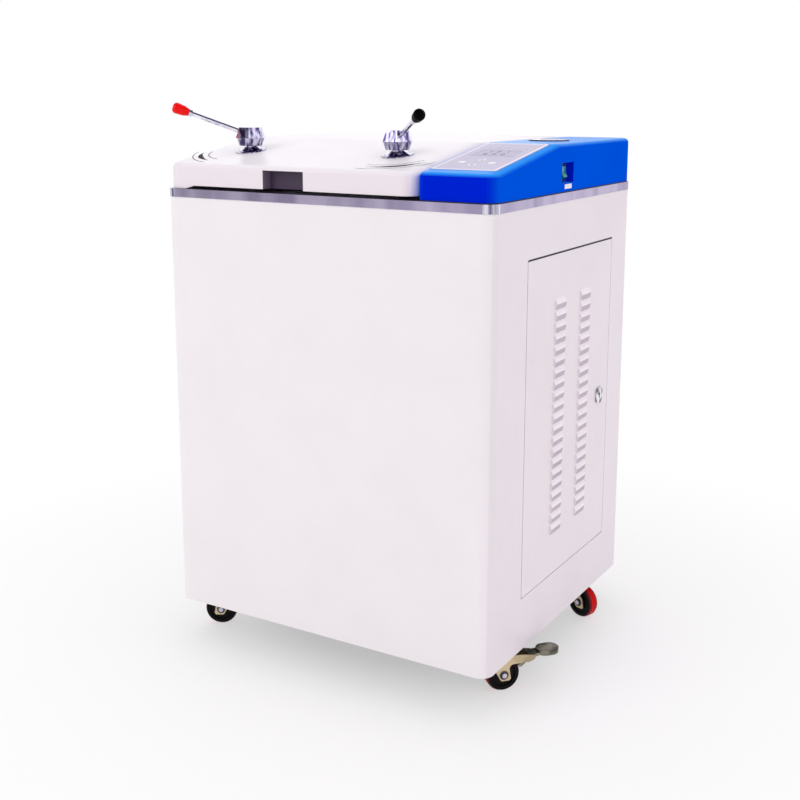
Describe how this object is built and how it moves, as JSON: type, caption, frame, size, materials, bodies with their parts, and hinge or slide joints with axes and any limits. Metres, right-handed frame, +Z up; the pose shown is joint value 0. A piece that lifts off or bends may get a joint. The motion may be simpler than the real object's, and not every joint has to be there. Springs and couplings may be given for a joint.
{
  "type": "vertical autoclave",
  "caption": "Upright steam steriliser in a cabinet on braked casters, with a hinged round pressure lid locked by two levers, a side service door and a control panel.",
  "frame": {"origin": "on the floor under the middle of the cabinet", "axes": "+Z up, +X to the right of the front, the front faces -Y"},
  "size_m": [0.7038, 0.685, 1.0157],
  "materials": {
    "frame_paint": "grey powder coat",
    "body_paint": "smooth off-white powder coat",
    "polished_steel": "polished stainless steel",
    "brushed_steel": "brushed stainless steel",
    "bright_steel": "bright plated steel",
    "foil": "foil face",
    "brass": "turned",
    "zinc": "yellow zinc plate",
    "white_plastic": "glossy white moulding",
    "blue_plastic": "glossy blue moulding",
    "red_plastic": "glossy red",
    "black_plastic": "glossy black",
    "grey_film": "satin membrane film",
    "button_plastic": "satin",
    "rocker_plastic": "translucent green",
    "board": "circuit board lacquer",
    "translucent_plastic": "natural polythene",
    "gasket_rubber": "silicone",
    "caster_tread": "red polyurethane",
    "gauge_glass": "clear",
    "red_paint": "red dip coat"
  },
  "bodies": {
    "root": {"frame": "frame_paint", "cabinet_shell": "body_paint", "rear_panel": "body_paint", "top_deck": "polished_steel", "electrical_plate": "brushed_steel", "pressure_vessel": "brushed_steel", "insulation_jacket": "foil", "heating_element": "brushed_steel", "support_plate": "brushed_steel", "basket": "brushed_steel", "drain_valve": "brass", "safety_valve": "brass", "exhaust_valve": "brass", "condensate_bottle": "translucent_plastic", "control_board": "board", "power_relay": "black_plastic", "power_inlet": "black_plastic", "hinge_bracket": "brushed_steel", "hinge_pin": "brushed_steel", "control_housing": "blue_plastic", "membrane_panel": "grey_film", "gauge_case": "black_plastic", "gauge_glass": "gauge_glass", "switch_frame": "black_plastic", "door_pins": "brushed_steel", "caster_plates": "zinc"},
    "lid": {"lid_cover": "white_plastic", "pressure_lid": "brushed_steel", "lid_gasket": "gasket_rubber", "lid_arm": "brushed_steel", "lever_escutcheons": "bright_steel"},
    "left_lever": {"left_spindle": "bright_steel", "left_lever_head": "bright_steel", "left_lever_rod": "bright_steel", "left_lever_knob": "red_plastic"},
    "right_lever": {"right_spindle": "bright_steel", "right_lever_head": "bright_steel", "right_lever_rod": "bright_steel", "right_lever_knob": "black_plastic"},
    "door": {"side_door": "body_paint"},
    "lock": {"cam_lock": "bright_steel"},
    "rocker": {"power_rocker": "rocker_plastic"},
    "key_left": {"button_left": "button_plastic"},
    "key_right": {"button_right": "button_plastic"},
    "key_up": {"button_up": "button_plastic"},
    "key_down": {"button_down": "button_plastic"},
    "needle": {"gauge_needle": "black_plastic"},
    "drain_handle": {"drain_lever": "red_paint"},
    "relief_handle": {"safety_lever": "red_paint"},
    "bail": {"basket_bail": "brushed_steel"},
    "front_left_swivel": {"front_left_fork": "zinc"},
    "front_right_swivel": {"front_right_fork": "zinc"},
    "rear_left_swivel": {"rear_left_fork": "zinc"},
    "rear_right_swivel": {"rear_right_fork": "zinc"},
    "front_left_roller": {"front_left_wheel": "caster_tread"},
    "front_right_roller": {"front_right_wheel": "caster_tread"},
    "rear_left_roller": {"rear_left_wheel": "caster_tread"},
    "rear_right_roller": {"rear_right_wheel": "caster_tread"},
    "front_right_pedal": {"front_right_brake": "brushed_steel"},
    "rear_left_pedal": {"rear_left_brake": "brushed_steel"}
  },
  "joints": [
    {"name": "lid_hinge", "type": "hinge", "parent": "root", "child": "lid", "pos_m": [-0.07, 0.272, 0.8975], "axis": [-1, 0, 0], "range_deg": [0, 75]},
    {"name": "left_lever_turn", "type": "hinge", "parent": "lid", "child": "left_lever", "pos_m": [-0.22638, -0.18016, 0.95], "axis": [0, 0, 1], "range_deg": [0, 90]},
    {"name": "right_lever_turn", "type": "hinge", "parent": "lid", "child": "right_lever", "pos_m": [0.08638, -0.18016, 0.95], "axis": [0, 0, -1], "range_deg": [0, 90]},
    {"name": "side_door_hinge", "type": "hinge", "parent": "root", "child": "door", "pos_m": [0.326, -0.167, 0.4695], "axis": [0, 0, -1], "range_deg": [0, 105]},
    {"name": "cam_lock_turn", "type": "hinge", "parent": "door", "child": "lock", "pos_m": [0.33, 0.16, 0.46599], "axis": [1, 0, 0], "range_deg": [0, 90]},
    {"name": "power_rocker_tilt", "type": "hinge", "parent": "root", "child": "rocker", "pos_m": [0.315, -0.0125, 0.8985], "axis": [0, 1, 0], "range_deg": [0, 24]},
    {"name": "button_left_press", "type": "slide", "parent": "root", "child": "key_left", "axis": [0, 0.1623, -0.9867], "range_m": [0, 0.0008], "stiffness_N_per_m": 400},
    {"name": "button_right_press", "type": "slide", "parent": "root", "child": "key_right", "axis": [0, 0.1623, -0.9867], "range_m": [0, 0.0008], "stiffness_N_per_m": 400},
    {"name": "button_up_press", "type": "slide", "parent": "root", "child": "key_up", "axis": [0, 0.1623, -0.9867], "range_m": [0, 0.0008], "stiffness_N_per_m": 400},
    {"name": "button_down_press", "type": "slide", "parent": "root", "child": "key_down", "axis": [0, 0.1623, -0.9867], "range_m": [0, 0.0008], "stiffness_N_per_m": 400},
    {"name": "gauge_needle_turn", "type": "hinge", "parent": "root", "child": "needle", "pos_m": [0.248, 0.085, 0.94], "axis": [0, 0, -1], "range_deg": [0, 270]},
    {"name": "drain_lever_turn", "type": "hinge", "parent": "root", "child": "drain_handle", "pos_m": [-0.07, 0.334, 0.258], "axis": [0, 0, 1], "range_deg": [0, 90]},
    {"name": "safety_lever_lift", "type": "hinge", "parent": "root", "child": "relief_handle", "pos_m": [0.196, -0.04, 0.827], "axis": [0, -1, 0], "range_deg": [0, 20], "stiffness_Nm_per_rad": 0.3, "springref_deg": -5.73},
    {"name": "basket_bail_lift", "type": "hinge", "parent": "root", "child": "bail", "pos_m": [-0.07, 0.02, 0.6993], "axis": [-1, 0, 0], "range_deg": [0, 90]},
    {"name": "front_left_swivel_turn", "type": "hinge", "parent": "root", "child": "front_left_swivel", "pos_m": [-0.273, -0.195, 0.07], "axis": [0, 0, 1], "continuous": true},
    {"name": "front_left_wheel_spin", "type": "hinge", "parent": "front_left_swivel", "child": "front_left_roller", "pos_m": [-0.30125, -0.21002, 0.031], "axis": [0.4695, -0.8829, 0], "continuous": true},
    {"name": "front_right_swivel_turn", "type": "hinge", "parent": "root", "child": "front_right_swivel", "pos_m": [0.273, -0.195, 0.07], "axis": [0, 0, 1], "continuous": true},
    {"name": "front_right_wheel_spin", "type": "hinge", "parent": "front_right_swivel", "child": "front_right_roller", "pos_m": [0.29441, -0.17122, 0.031], "axis": [-0.7431, 0.6691, 0], "continuous": true},
    {"name": "rear_left_swivel_turn", "type": "hinge", "parent": "root", "child": "rear_left_swivel", "pos_m": [-0.273, 0.195, 0.07], "axis": [0, 0, 1], "continuous": true},
    {"name": "rear_left_wheel_spin", "type": "hinge", "parent": "rear_left_swivel", "child": "rear_left_roller", "pos_m": [-0.24849, 0.21557, 0.031], "axis": [-0.6428, 0.766, 0], "continuous": true},
    {"name": "rear_right_swivel_turn", "type": "hinge", "parent": "root", "child": "rear_right_swivel", "pos_m": [0.273, 0.195, 0.07], "axis": [0, 0, 1], "continuous": true},
    {"name": "rear_right_wheel_spin", "type": "hinge", "parent": "rear_right_swivel", "child": "rear_right_roller", "pos_m": [0.30307, 0.18405, 0.031], "axis": [0.342, 0.9397, 0], "continuous": true},
    {"name": "front_right_brake_lift", "type": "hinge", "parent": "front_right_swivel", "child": "front_right_pedal", "pos_m": [0.32653, -0.13555, 0.057], "axis": [0.7431, -0.6691, 0], "range_deg": [0, 10]},
    {"name": "rear_left_brake_lift", "type": "hinge", "parent": "rear_left_swivel", "child": "rear_left_pedal", "pos_m": [-0.21172, 0.24642, 0.057], "axis": [0.6428, -0.766, 0], "range_deg": [0, 10]}
  ]
}
